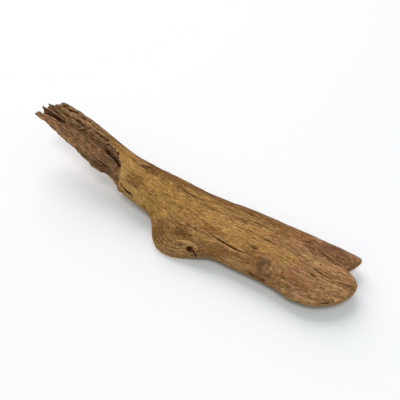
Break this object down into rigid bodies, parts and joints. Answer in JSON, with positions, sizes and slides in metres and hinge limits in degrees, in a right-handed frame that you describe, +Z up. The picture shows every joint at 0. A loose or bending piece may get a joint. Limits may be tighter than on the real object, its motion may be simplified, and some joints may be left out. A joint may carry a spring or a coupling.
{
  "type": "driftwood branch",
  "caption": "Flat weathered driftwood branch lying on its worn underside, with a forked trunk end, a short down-turned branch stub and a raised, split arm ending in splinters.",
  "frame": {"origin": "under the middle of the whole piece, on the surface that it rests on", "axes": "+X along the grain towards the forked end, +Y towards the straight back edge, +Z up"},
  "size_m": [0.342, 0.081, 0.0541],
  "materials": {
    "trunk_wood": "bare weathered wood, golden brown, worn smooth along the grain",
    "arm_wood": "bare split wood, dark brown and rough, with torn fibres",
    "stub_wood": "bare weathered wood, mid brown, with the grain turning down"
  },
  "bodies": {
    "root": {"trunk": "trunk_wood", "splintered_arm": "arm_wood", "branch_stub": "stub_wood"}
  },
  "joints": []
}
